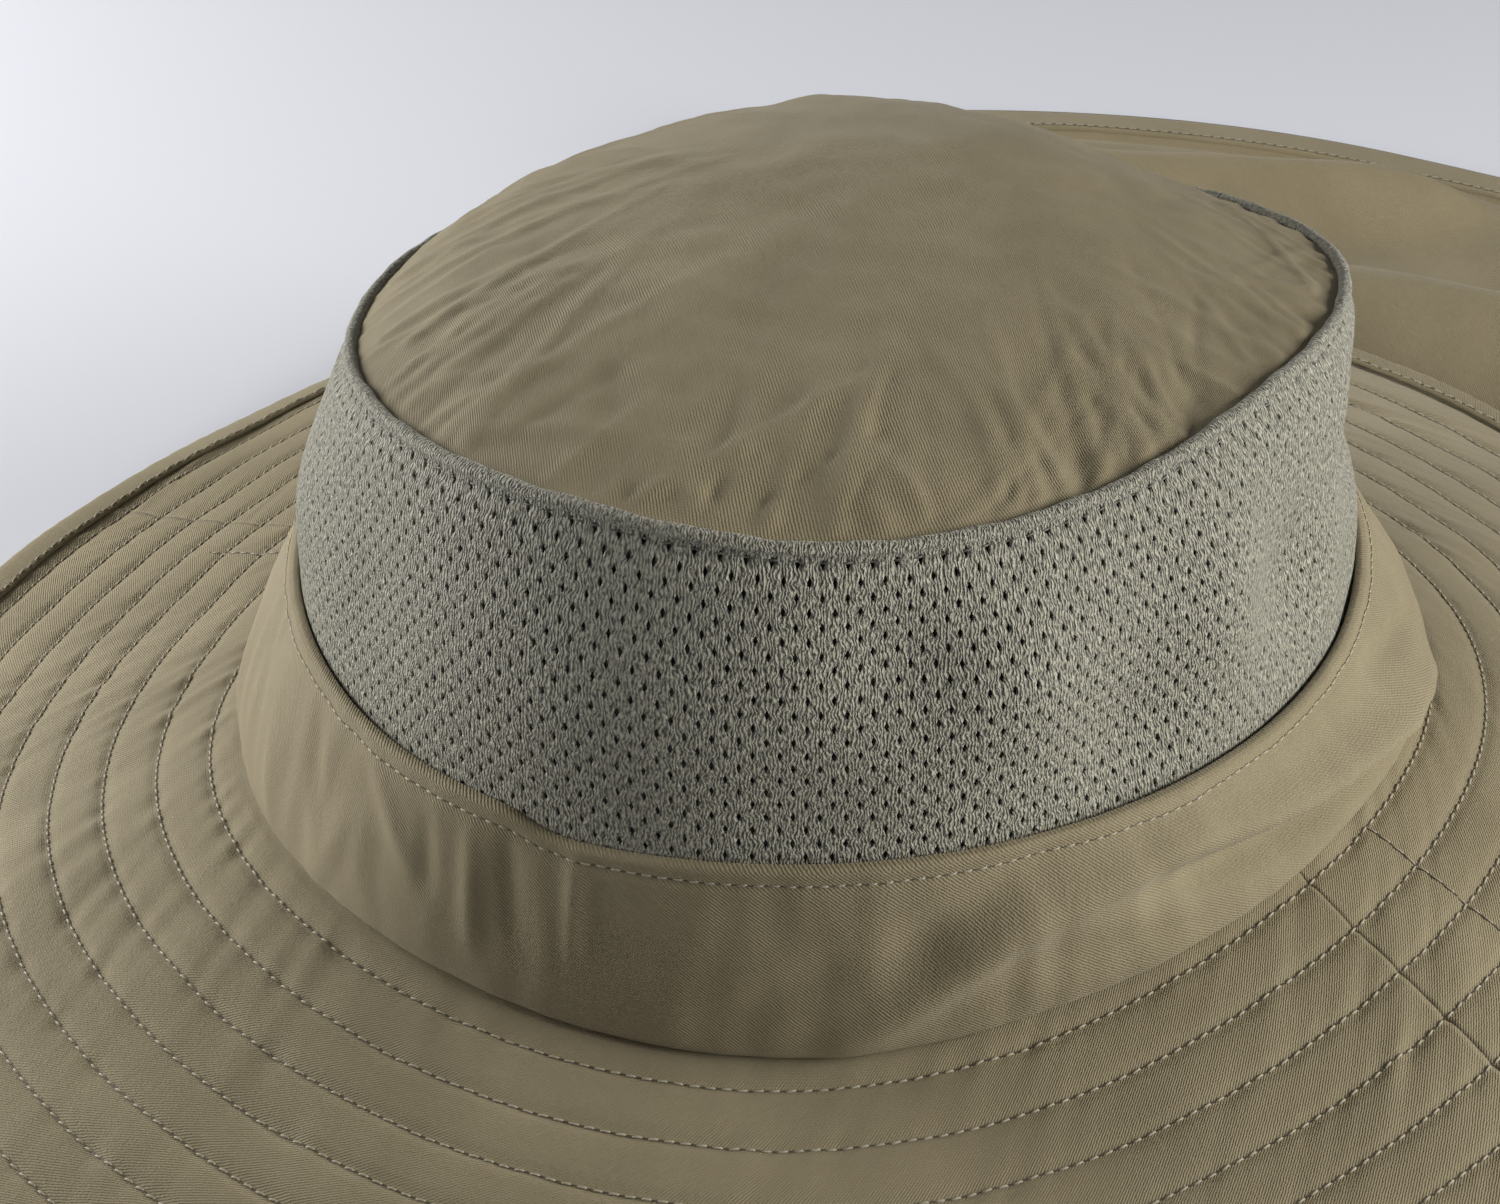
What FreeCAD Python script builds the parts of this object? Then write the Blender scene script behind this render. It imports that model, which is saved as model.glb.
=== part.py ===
import FreeCAD, Part
import math
import os
import Sketcher
from FreeCAD import Placement, Rotation, Vector

# A boonie hat with a quilted wide brim, mesh crown sides and a neck flap under the rear of the brim.
# Frame: +Z up, the front is -Y, the wearer's left is +X.  The hat lies on the plane z = 0 and the
# origin is under the middle of its head opening.  Lengths are in millimetres.
#
# The hat is first laid out level.  Then everything but the flap tips about the front of the rim, by
# the little that the flap under the rear rim lifts it.

os.makedirs("parts", exist_ok=True)
doc = FreeCAD.newDocument("BoonieHat")

# ---------------------------------------------------------------- driving dimensions
SIZES = [
    ("base_half_width", 96.0, "half width of the crown at the brim"),
    ("base_extra_length", 5.0, "how much longer the base half length is than its half width"),
    ("seam_half_width", 88.5, "half width at the seam between lower band and mesh"),
    ("seam_extra_length", 9.0, "extra half length at that seam"),
    ("top_half_width", 79.5, "half width at the top seam"),
    ("top_extra_length", 9.0, "extra half length at the top seam"),
    ("band_height", 30.5, "height of the woven lower band"),
    ("mesh_height", 44.0, "height of mesh that shows between band and top seam"),
    ("dome_rise", 20.0, "rise of the top panel over its seam"),
    ("lip_height", 2.2, "mesh fold that stands above the top seam"),
    ("tuck_depth", 7.0, "mesh hidden behind the band's folded edge"),
    ("band_cloth", 1.4, "wall of the lower band"),
    ("mesh_cloth", 1.2, "wall of the mesh"),
    ("top_cloth", 1.0, "wall of the top panel"),
    ("sweat_cloth", 1.2, "wall of the sweatband"),
    ("sweat_height", 29.0, "height of the sweatband"),
    ("layer_gap", 0.1, "air between two layers of cloth"),
    ("brim_width", 83.0, "brim from the crown to its bound edge"),
    ("brim_drop", 25.0, "how far the brim falls over that width"),
    ("ply_cloth", 0.8, "one woven ply of the brim"),
    ("lining_cloth", 1.6, "stiffener between the two plies"),
    ("binding_width", 7.5, "width of the binding over the rim"),
    ("binding_cloth", 0.8, "wall of the binding"),
    ("row_pitch", 9.4, "distance from one turn of quilting to the next"),
    ("row_turns", 7.8, "turns of the quilting spiral"),
    ("first_row", 1.0, "start of the quilting, from the crown"),
    ("thread_width", 0.7, "width of a line of sewing"),
    ("thread_height", 0.4, "how far a line of sewing stands off the cloth"),
    ("edge_to_stitch", 2.6, "folded edge to the sewing that holds it"),
    ("binding_stitch_inset", 1.5, "inner edge of a binding to its sewing"),
    ("side_stitch_length", 38.0, "radial line of sewing at each side of the brim"),
    ("rear_lift", 8.0, "how far the flap lifts the rear rim"),
    ("hinge_setback", 5.0, "fold line of the flap behind the crown"),
    ("flap_half_front", 88.0, "half width of the flap at its fold line"),
    ("flap_half_rear", 150.0, "half width of the flap at its far hem"),
    ("flap_reach", 295.0, "far hem, from the middle of the hat"),
    ("flap_cloth", 1.1, "wall of the flap"),
    ("flap_hem_width", 9.0, "width of the binding round the flap"),
    ("flap_hem_cloth", 2.2, "thickness of the flap where it is bound"),
    ("flap_clearance", 2.6, "air between flap and brim"),
    ("landing_beyond_rim", 4.0, "where the flap reaches the table, behind the rim"),
    ("fold_gap", 0.8, "air between the sewn and the loose part of the flap"),
]
sheet = doc.addObject("Spreadsheet::Sheet", "Sizes")
for row, (alias, value, meaning) in enumerate(SIZES, start=1):
    sheet.set("A%d" % row, alias)
    sheet.set("B%d" % row, "%g" % value)
    sheet.set("C%d" % row, meaning)
    sheet.setAlias("B%d" % row, alias)
doc.recompute()


def size(alias):
    """The number in one cell of the sheet."""
    return float(sheet.get(alias))


def cell(alias):
    """The same cell, as an expression reads it."""
    return "Sizes." + alias


# ---------------------------------------------------------------- places worked out from the sizes
BRIM_STACK = "(2*Sizes.ply_cloth + Sizes.lining_cloth + 2*Sizes.layer_gap)"
BASE_HEIGHT = "(Sizes.brim_drop + %s + Sizes.layer_gap + Sizes.binding_cloth)" % BRIM_STACK
SEAM_HEIGHT = "(%s + Sizes.band_height)" % BASE_HEIGHT
TOP_HEIGHT = "(%s + Sizes.mesh_height)" % SEAM_HEIGHT
MESH_INSET = "(Sizes.band_cloth + Sizes.layer_gap)"
SWEAT_INSET = "(%s + Sizes.mesh_cloth + Sizes.layer_gap)" % MESH_INSET

slope = size("brim_drop") / size("brim_width")
brim_stack = 2 * size("ply_cloth") + size("lining_cloth") + 2 * size("layer_gap")
base_height = size("brim_drop") + brim_stack + size("layer_gap") + size("binding_cloth")
base_half_length = size("base_half_width") + size("base_extra_length")
rim_half_length = base_half_length + size("brim_width")

# Everything sewn to the crown tips about the front of the rim.
tilt_deg = math.degrees(math.asin(size("rear_lift") / (2 * rim_half_length)))
TILT = Placement(Vector(0, 0, 0), Rotation(Vector(1, 0, 0), tilt_deg), Vector(0, -rim_half_length, 0))

nodes = []


def finished(piece, label, place=TILT):
    """Names a finished piece, puts it in its place and keeps it for export."""
    piece.Label = label
    piece.Placement = place
    nodes.append(piece)
    return piece


# ---------------------------------------------------------------- crown walls
def oval(name, half_width, half_length, height):
    """A level oval, longer from front to back."""
    ring = doc.addObject("Part::Ellipse", name)
    ring.Placement = Placement(Vector(0, 0, 0), Rotation(Vector(0, 0, 1), 90))
    ring.setExpression("MajorRadius", half_length)
    ring.setExpression("MinorRadius", half_width)
    ring.setExpression("Placement.Base.z", height)
    return ring


def tapered_solid(name, levels, inset):
    """Solid through a stack of ovals, each drawn in by the inset."""
    rings = []
    for number, (half_width, half_length, height) in enumerate(levels):
        ring_name = "%s_%d" % (name, number)
        rings.append(oval(ring_name, half_width + " - " + inset, half_length + " - " + inset, height))
    solid = doc.addObject("Part::Loft", name)
    solid.Sections = rings
    solid.Solid = True
    solid.Ruled = True
    return solid


def wall(label, levels, inset, thickness):
    """Oval wall: its outside is drawn in by the inset, and its inside by the thickness as well."""
    node = doc.addObject("Part::Cut", label)
    node.Base = tapered_solid(label + "_outside", levels, inset)
    node.Tool = tapered_solid(label + "_inside", levels, "(%s + %s)" % (inset, thickness))
    return finished(node, label)


def along_band(fraction, height):
    """Level on the outside of the lower band, a share of the way up it."""
    half_width = "(Sizes.base_half_width + (Sizes.seam_half_width - Sizes.base_half_width)*%s)" % fraction
    extra = "(Sizes.base_extra_length + (Sizes.seam_extra_length - Sizes.base_extra_length)*%s)" % fraction
    return (half_width, "(%s + %s)" % (half_width, extra), height)


TOP_HALF_LENGTH = "(Sizes.top_half_width + Sizes.top_extra_length)"
BAND_FOOT = "(%s + Sizes.brim_drop*Sizes.band_cloth/Sizes.brim_width + Sizes.layer_gap)" % BASE_HEIGHT
base_level = along_band("0", BAND_FOOT)
seam_level = along_band("1", SEAM_HEIGHT)
tuck_level = along_band("(1 - Sizes.tuck_depth/Sizes.band_height)", "%s - Sizes.tuck_depth" % SEAM_HEIGHT)
sweat_level = along_band("(Sizes.sweat_height/Sizes.band_height)", "%s + Sizes.sweat_height" % BASE_HEIGHT)

# The mesh leaves the band's inner side and leans in to the top seam, where it is folded over.
mesh_top = (cell("top_half_width") + " + " + MESH_INSET, TOP_HALF_LENGTH + " + " + MESH_INSET)
lip_level = mesh_top + ("%s + Sizes.lip_height" % TOP_HEIGHT,)

wall("crown_lower_band", [base_level, seam_level], "0", cell("band_cloth"))
wall("mesh_side_band", [tuck_level, seam_level, mesh_top + (TOP_HEIGHT,), lip_level],
     MESH_INSET, cell("mesh_cloth"))
wall("sweatband", [base_level, sweat_level], SWEAT_INSET, cell("sweat_cloth"))


# ---------------------------------------------------------------- top panel
def half_egg(name, inset):
    """Upper half of an ellipsoid that fills the top seam, drawn in by the inset."""
    egg = doc.addObject("Part::Ellipsoid", name)
    egg.Angle1 = 0
    egg.Angle2 = 90
    egg.setExpression("Radius1", "Sizes.dome_rise - " + inset)
    egg.setExpression("Radius2", "Sizes.top_half_width - Sizes.mesh_cloth - Sizes.layer_gap - " + inset)
    egg.setExpression("Radius3", TOP_HALF_LENGTH + " - Sizes.mesh_cloth - Sizes.layer_gap - " + inset)
    egg.setExpression("Placement.Base.z", TOP_HEIGHT)
    return egg


top_panel = doc.addObject("Part::Cut", "crown_top_panel")
top_panel.Base = half_egg("top_panel_outside", "0")
top_panel.Tool = half_egg("top_panel_inside", cell("top_cloth"))
finished(top_panel, "crown_top_panel")


# ---------------------------------------------------------------- brim
HALF_WIDTH = cell("base_half_width")
HALF_LENGTH = "(Sizes.base_half_width + Sizes.base_extra_length)"
LEFT_SIDE = Placement(Vector(0, 0, 0), Rotation(Vector(1, 0, 0), 90))
FRONT_SIDE = Placement(Vector(0, 0, 0), Rotation(-90, 0, 90))


def outline(name, corners, place):
    """Closed outline on an upright plane through the middle of the hat: x outwards and y up."""
    sketch = doc.addObject("Sketcher::SketchObject", name)
    sketch.Placement = place
    count = len(corners)
    for number in range(count):
        turn = 2 * math.pi * number / count
        after = 2 * math.pi * (number + 1) / count
        start = Vector(120 + 40 * math.cos(turn), 60 + 40 * math.sin(turn), 0)
        end = Vector(120 + 40 * math.cos(after), 60 + 40 * math.sin(after), 0)
        sketch.addGeometry(Part.LineSegment(start, end))
    for number in range(count):
        sketch.addConstraint(Sketcher.Constraint("Coincident", number, 2, (number + 1) % count, 1))
    for number, (outwards, up) in enumerate(corners):
        for kind, expression in (("DistanceX", outwards), ("DistanceY", up)):
            made = sketch.addConstraint(Sketcher.Constraint(kind, -1, 1, number, 1, 100.0))
            sketch.setExpression("Constraints[%d]" % made, expression)
    return sketch


def brim_point(distance, below):
    """Distance out from the crown, and height of a point so far under the brim's upper face."""
    up = "%s - Sizes.brim_drop*(%s)/Sizes.brim_width - (%s)" % (BASE_HEIGHT, distance, below)
    return (distance, up)


def layer(inner, outer, below, thickness):
    """Corners of one layer of the brim, between two distances from the crown."""
    under = "(%s) + (%s)" % (below, thickness)
    return [brim_point(inner, below), brim_point(inner, under),
            brim_point(outer, under), brim_point(outer, below)]


def round_the_crown(name, corners, half_way):
    """The outline carried round the crown: all the way from the front, or half way from the left."""
    path = doc.addObject("Part::Ellipse", name + "_path")
    path.Placement = Placement(Vector(0, 0, 0), Rotation(Vector(0, 0, 1), -90))
    path.setExpression("MajorRadius", HALF_LENGTH)
    path.setExpression("MinorRadius", HALF_WIDTH)
    path.Angle1 = 90 if half_way else 0
    path.Angle2 = 270 if half_way else 360
    start = HALF_WIDTH if half_way else HALF_LENGTH
    placed = [("%s + (%s)" % (start, distance), up) for distance, up in corners]
    ring = doc.addObject("Part::Sweep", name + "_ring")
    ring.Sections = [outline(name + "_outline", placed, LEFT_SIDE if half_way else FRONT_SIDE)]
    ring.Spine = (path, ["Edge1"])
    ring.Solid = True
    ring.Frenet = True
    return ring


PLY_START = "-Sizes.band_cloth"
PLY_END = "Sizes.brim_width - Sizes.binding_cloth - Sizes.layer_gap"
LINING_TOP = "Sizes.ply_cloth + Sizes.layer_gap"
UNDER_TOP = "%s + Sizes.lining_cloth + Sizes.layer_gap" % LINING_TOP
HALF_TURN = Placement(Vector(0, 0, 0), Rotation(Vector(0, 0, 1), 180))

top_ply = layer(PLY_START, PLY_END, "0", cell("ply_cloth"))
under_ply = layer(PLY_START, PLY_END, UNDER_TOP, cell("ply_cloth"))
lining = layer(PLY_START, PLY_END, LINING_TOP, cell("lining_cloth"))

# Each ply is cut in two halves that meet at the sides of the hat.
for ply, corners in (("brim_top", top_ply), ("brim_under", under_ply)):
    finished(round_the_crown(ply + "_rear", corners, True), ply + "_rear")
    finished(round_the_crown(ply + "_front", corners, True), ply + "_front", TILT * HALF_TURN)
finished(round_the_crown("brim_stiffener", lining, False), "brim_stiffener")

# The binding is a folded strip: over the top, round the edge and back under.
BIND_START = "Sizes.brim_width - Sizes.binding_width"
BIND_FOLD = "Sizes.brim_width - Sizes.binding_cloth"
BIND_OVER = "-Sizes.layer_gap - Sizes.binding_cloth"
BIND_UNDER = "%s + Sizes.layer_gap" % BRIM_STACK
binding = [
    brim_point(BIND_START, BIND_OVER),
    brim_point(BIND_START, "-Sizes.layer_gap"),
    brim_point(BIND_FOLD, "-Sizes.layer_gap"),
    brim_point(BIND_FOLD, BIND_UNDER),
    brim_point(BIND_START, BIND_UNDER),
    brim_point(BIND_START, BIND_UNDER + " + Sizes.binding_cloth"),
    brim_point(cell("brim_width"), BIND_UNDER + " + Sizes.binding_cloth"),
    brim_point(cell("brim_width"), BIND_OVER),
]
finished(round_the_crown("brim_edge_binding", binding, False), "brim_edge_binding")


# ---------------------------------------------------------------- sewing that shows
def along_mesh(fraction, height):
    """Level on the outside of the mesh, a share of the way from its seam to the top seam."""
    half_width = "(Sizes.seam_half_width + (Sizes.top_half_width + %s - Sizes.seam_half_width)*%s)"
    half_width = half_width % (MESH_INSET, fraction)
    extra = "(Sizes.seam_extra_length + (Sizes.top_extra_length - Sizes.seam_extra_length)*%s)" % fraction
    return (half_width, "(%s + %s)" % (half_width, extra), height)


ON_TOP = "(Sizes.thread_height + Sizes.layer_gap)"
band_row = "Sizes.band_height - Sizes.edge_to_stitch"
mesh_row = "Sizes.mesh_height - Sizes.edge_to_stitch"
band_rows = [along_band("((%s - %s)/Sizes.band_height)" % (band_row, drop),
                        "%s + %s - %s" % (BASE_HEIGHT, band_row, drop))
             for drop in (cell("thread_width"), "0")]
mesh_rows = [along_mesh("((%s - %s)/Sizes.mesh_height)" % (mesh_row, drop),
                        "%s + %s - %s" % (SEAM_HEIGHT, mesh_row, drop))
             for drop in (cell("thread_width"), "0")]
sweat_rows = [along_band("((Sizes.edge_to_stitch + %s)/Sizes.band_height)" % rise,
                         "%s + Sizes.edge_to_stitch + %s" % (BASE_HEIGHT, rise))
              for rise in ("0", cell("thread_width"))]
wall("band_topstitch", band_rows, "(-%s)" % ON_TOP, cell("thread_height"))
wall("lip_topstitch", mesh_rows, "(%s - %s)" % (MESH_INSET, ON_TOP), cell("thread_height"))
wall("sweatband_stitch", sweat_rows, "(%s + Sizes.sweat_cloth + Sizes.layer_gap)" % SWEAT_INSET,
     cell("thread_height"))

# One row of sewing holds the binding.
row_start = "%s + Sizes.binding_stitch_inset" % BIND_START
row_end = "%s + Sizes.thread_width" % row_start
binding_row = layer(row_start, row_end, "%s - %s" % (BIND_OVER, ON_TOP), cell("thread_height"))
finished(round_the_crown("binding_stitch", binding_row, False), "binding_stitch")


def quilting_edge(extra, lift):
    """Spiral round the crown as a curve: each turn is one pitch further out than the turn before."""
    points = []
    steps = int(round(size("row_turns") * STEPS_PER_TURN))
    for step in range(steps + 1):
        turn = math.radians(SPIRAL_START_DEG) - 2 * math.pi * step / STEPS_PER_TURN
        distance = size("first_row") + size("row_pitch") * step / STEPS_PER_TURN + extra
        across = math.sin(turn) / size("base_half_width")
        along = -math.cos(turn) / base_half_length
        length = math.hypot(across, along)
        points.append(Vector(size("base_half_width") * math.sin(turn) + distance * across / length,
                             -base_half_length * math.cos(turn) + distance * along / length,
                             base_height - slope * distance + lift))
    curve = Part.BSplineCurve()
    curve.interpolate(points)
    return curve.toShape()


def quilting_thread(label, lift):
    """The quilting is one long flat line of sewing that winds outwards over the brim."""
    ribbon = Part.makeRuledSurface(quilting_edge(0.0, lift), quilting_edge(size("thread_width"), lift))
    thread = doc.addObject("Part::Feature", label)
    thread.Shape = ribbon.extrude(Vector(0, 0, size("thread_height")))
    return finished(thread, label)


SPIRAL_START_DEG = 133.0
STEPS_PER_TURN = 36
quilting_thread("quilting_thread_top", size("layer_gap"))
quilting_thread("quilting_thread_under", -brim_stack - size("layer_gap") - size("thread_height"))

# A short radial line of sewing at each side runs over the quilting and holds the ends of the flap.
slope_deg = math.degrees(math.atan(slope))
for label, turned in (("side_stitch_left", Placement()), ("side_stitch_right", HALF_TURN)):
    line = doc.addObject("Part::Box", label)
    line.setExpression("Length", cell("side_stitch_length"))
    line.setExpression("Width", cell("thread_width"))
    line.setExpression("Height", cell("thread_height"))
    foot = Vector(size("base_half_width") + size("first_row"), -size("thread_width") / 2,
                  base_height - slope * size("first_row") + size("thread_height") + 2 * size("layer_gap"))
    finished(line, label, TILT * turned * Placement(foot, Rotation(Vector(0, 1, 0), slope_deg)))


# ---------------------------------------------------------------- neck flap, sewn part
# Under the rear half of the brim the flap is sewn flat, out to the ends of the side stitching and
# back to a straight fold line behind the crown.
SEWN_TOP = "%s + %s + Sizes.layer_gap" % (BRIM_STACK, ON_TOP)
FOLD_LINE = "(%s + Sizes.hinge_setback)" % HALF_LENGTH
sewn = round_the_crown("flap_sewn_edge", layer(PLY_START, "Sizes.first_row + Sizes.side_stitch_length",
                                               SEWN_TOP, cell("flap_cloth")), True)
before_fold = doc.addObject("Part::Box", "before_fold")
before_fold.setExpression("Length", "2*(Sizes.base_half_width + Sizes.brim_width)")
before_fold.setExpression("Width", "%s - Sizes.fold_gap/2" % FOLD_LINE)
before_fold.setExpression("Height", "2*%s" % BASE_HEIGHT)
before_fold.setExpression("Placement.Base.x", "-(Sizes.base_half_width + Sizes.brim_width)")
before_fold.setExpression("Placement.Base.z", "-%s" % BASE_HEIGHT)
sewn_edge = doc.addObject("Part::Common", "flap_sewn_edge")
sewn_edge.Base = sewn
sewn_edge.Tool = before_fold
finished(sewn_edge, "flap_sewn_edge")


# ---------------------------------------------------------------- neck flap, loose part
fold_line = base_half_length + size("hinge_setback")
flap_front = fold_line + size("fold_gap") / 2


def distance_from_crown(across, along):
    """How far a point is outside the crown's oval, found by halving."""
    near, far = 0.0, math.hypot(across, along)
    for _ in range(40):
        middle = (near + far) / 2
        reach = math.hypot(across / (size("base_half_width") + middle), along / (base_half_length + middle))
        if reach > 1:
            near = middle
        else:
            far = middle
    return near


def under_brim(across, along):
    """Height of the flap's lower face where it passes under the tipped brim."""
    level = base_height - slope * distance_from_crown(across, along) - brim_stack - size("binding_cloth")
    lifted = level + math.sin(math.radians(tilt_deg)) * (along + rim_half_length)
    return lifted - size("flap_clearance") - size("flap_hem_cloth")


def flap_half_width(along):
    """Half width of the flap: it flares evenly from the fold line to the far hem."""
    share = (along - flap_front) / (size("flap_reach") - flap_front)
    return size("flap_half_front") + share * (size("flap_half_rear") - size("flap_half_front"))


def flap_section(along, middle, side, inset, lift, thickness):
    """Outline across the flap: arched over its middle, or straight where it lies on the table."""
    half = flap_half_width(along) - inset
    bow = (middle - side) * (1 - (half / flap_half_width(along)) ** 2)
    left, right, arch = (Vector(-half, along, side + bow + lift), Vector(half, along, side + bow + lift),
                         Vector(0, along, middle + lift))
    up = Vector(0, 0, thickness)
    if middle - side < 0.01:
        lower = Part.makeLine(left, right)
        upper = Part.makeLine(right + up, left + up)
    else:
        lower = Part.Arc(left, arch, right).toShape()
        upper = Part.Arc(right + up, arch + up, left + up).toShape()
    return Part.Wire([lower, Part.makeLine(right, right + up), upper, Part.makeLine(left + up, left)])


def flat_end(near, far, inset, lift, thickness):
    """The plane part of the flap, which lies on the table out to the far hem."""
    corners = []
    for along, side in ((near, -1), (near, 1), (far, 1), (far, -1)):
        corners.append(Vector(side * (flap_half_width(along) - inset), along, lift))
    return Part.Face(Part.makePolygon(corners + corners[:1])).extrude(Vector(0, 0, thickness))


def flap_sheet(side_inset, rear_inset, lift, thickness):
    """The flap from its fold line, down under the brim to the table and out to its far hem."""
    part_way = (flap_front + rim_half_length) / 2
    landing = rim_half_length + size("landing_beyond_rim")
    stations = []
    for along in (flap_front, part_way):
        stations.append((along, under_brim(0, along), under_brim(flap_half_width(along), along)))
    for along in (landing, size("flap_reach") - rear_inset):
        stations.append((along, 0.0, 0.0))
    wires = [flap_section(*station, side_inset, lift, thickness) for station in stations]
    sloping = [Part.makeLoft(list(pair), True, True) for pair in zip(wires[:2], wires[1:3])]
    return sloping[0].fuse(sloping[1:] + [flat_end(stations[2][0], stations[3][0], side_inset, lift, thickness)])


def flap_frame(outer, inner, lift, thickness):
    """A strip that runs down one side of the flap, along its far hem and up the other side."""
    deep = size("brim_drop")
    return flap_sheet(outer, outer, lift, thickness).cut(flap_sheet(inner, inner, -deep, 3 * deep))


hem_lift = (size("flap_hem_cloth") - size("flap_cloth")) / 2
panel_inset = size("flap_hem_width") + size("layer_gap")
stitch_inset = size("flap_hem_width") - size("binding_stitch_inset")
FLAP_SHAPES = [
    ("neck_flap", flap_sheet(panel_inset, panel_inset, hem_lift, size("flap_cloth"))),
    ("flap_edge_binding", flap_frame(0.0, size("flap_hem_width"), 0.0, size("flap_hem_cloth"))),
    ("flap_hem_stitch", flap_frame(stitch_inset - size("thread_width"), stitch_inset,
                                   size("flap_hem_cloth") + size("layer_gap"), size("thread_height"))),
]
for label, shape in FLAP_SHAPES:
    flap_piece = doc.addObject("Part::Feature", label)
    flap_piece.Shape = shape
    finished(flap_piece, label, Placement())

hinge_height = under_brim(size("flap_half_front"), flap_front)

# ---------------------------------------------------------------- checks and export
doc.recompute()
for piece in doc.Objects:
    if "Invalid" in piece.State or "Error" in piece.State:
        raise RuntimeError("%s failed: %s" % (piece.Label, piece.State))
for node in nodes:
    if node.Shape.isNull() or not node.Shape.isValid() or not node.Shape.Solids:
        raise RuntimeError("%s has no valid solid" % node.Label)
for node in nodes:
    node.Shape.exportStep("parts/%s.step" % node.Label)
    print("%-24s %d solid(s) %9.1f mm3" % (node.Label, len(node.Shape.Solids), node.Shape.Volume))
print("fold line of the flap: y = %.3f, z = %.3f" % (fold_line, hinge_height))
print("tilt %.3f degrees, %d nodes" % (tilt_deg, len(nodes)))
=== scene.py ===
# %% [markdown]
# # A boonie hat in cloth
# A wide-brim sun hat lies on a table: a domed cloth top, knit mesh sides, a woven band, a quilted brim
# and a neck flap that spreads out behind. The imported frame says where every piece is. Each soft piece
# is laid as a flat grid of cloth first, then bent into its place, because that is how cloth is cut and
# sewn, and the flat grid gives each piece its thread directions.

# %% Load the frame
import math

import bpy
import numpy as np
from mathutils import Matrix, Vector, noise
from mathutils.bvhtree import BVHTree


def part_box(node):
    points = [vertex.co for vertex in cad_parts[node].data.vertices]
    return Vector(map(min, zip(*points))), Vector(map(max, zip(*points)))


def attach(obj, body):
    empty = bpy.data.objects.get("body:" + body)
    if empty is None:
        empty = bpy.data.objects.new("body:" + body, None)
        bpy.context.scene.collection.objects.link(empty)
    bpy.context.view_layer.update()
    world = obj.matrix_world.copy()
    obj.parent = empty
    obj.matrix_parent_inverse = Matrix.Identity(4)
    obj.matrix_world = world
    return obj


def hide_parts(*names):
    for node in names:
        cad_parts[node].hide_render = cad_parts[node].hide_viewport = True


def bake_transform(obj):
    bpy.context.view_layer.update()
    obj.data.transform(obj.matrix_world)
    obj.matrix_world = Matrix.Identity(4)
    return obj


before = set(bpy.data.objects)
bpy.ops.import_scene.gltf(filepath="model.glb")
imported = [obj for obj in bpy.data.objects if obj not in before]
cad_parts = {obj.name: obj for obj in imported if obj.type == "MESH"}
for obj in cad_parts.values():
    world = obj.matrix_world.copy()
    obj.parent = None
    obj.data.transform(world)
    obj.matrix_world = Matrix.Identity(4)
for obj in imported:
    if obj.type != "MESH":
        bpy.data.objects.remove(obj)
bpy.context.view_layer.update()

# %% [markdown]
# ## Sizes
# Lengths are in metres. The oval of the crown, the width of the brim and the fold line of the flap are
# read from the frame. The rest are a maker's own sizes: how far apart the rows of quilting are, how wide
# a binding is, and how long a stitch is.

# %% Sizes of the hat
MM = 0.001
TURN = 2 * math.pi
TABLE = 0.0
crown_high = Vector(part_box("crown_lower_band")[1])
rim_high = Vector(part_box("brim_edge_binding")[1])

BRIM_WIDTH = rim_high.x - crown_high.x
ROW_PITCH = 9.4 * MM
FIRST_ROW = 1.0 * MM
ROW_COUNT = 7.85
SPIRAL_START = math.radians(133)
STITCH_PITCH = 2.45 * MM
CLOTH = 0.8 * MM

# %% [markdown]
# ## Camera, table and light
# The camera looks down on the front of the hat, from the wearer's left. The floor is pale, and two large
# soft lights stand at the sides, so that the left and right faces are bright and the front is darker.

# %% Camera
bpy.context.scene.view_settings.view_transform = "Standard"
bpy.ops.object.select_all(action="DESELECT")
CAMERA_PLACE = Vector((0.2114, -0.4415, 0.3784))
CAMERA_LOOK = Vector((-0.3768, 0.7395, -0.5579))
bpy.ops.object.camera_add(location=CAMERA_PLACE)
camera = bpy.context.object
camera.rotation_euler = CAMERA_LOOK.to_track_quat("-Z", "Y").to_euler()
camera.data.lens = 82.1
camera.data.sensor_width = 36
camera.data.clip_start = 0.01
bpy.context.scene.camera = camera

# %% Floor and backdrop
bpy.ops.mesh.primitive_plane_add(size=8, location=(0, 0, TABLE))
floor = bpy.context.object
floor.name = "floor"
floor_finish = bpy.data.materials.new("pale_floor")
floor_finish.use_nodes = True
floor_shader = floor_finish.node_tree.nodes["Principled BSDF"]
floor_shader.inputs["Base Color"].default_value = (0.67, 0.683, 0.735, 1)
floor_shader.inputs["Roughness"].default_value = 0.9
floor_shader.inputs["Specular IOR Level"].default_value = 0.1
floor.data.materials.append(floor_finish)


# %% Soft lights
def soft_light(name, place, aim, width, height, power, colour=(1, 1, 1)):
    """A rectangular soft light that faces a point."""
    bpy.ops.object.light_add(type="AREA", location=place)
    light = bpy.context.object
    light.name = name
    light.data.shape = "RECTANGLE"
    light.data.size, light.data.size_y = width, height
    light.data.energy = power
    light.data.color = colour
    light.rotation_euler = (Vector(aim) - Vector(place)).to_track_quat("-Z", "Y").to_euler()
    return light


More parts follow.
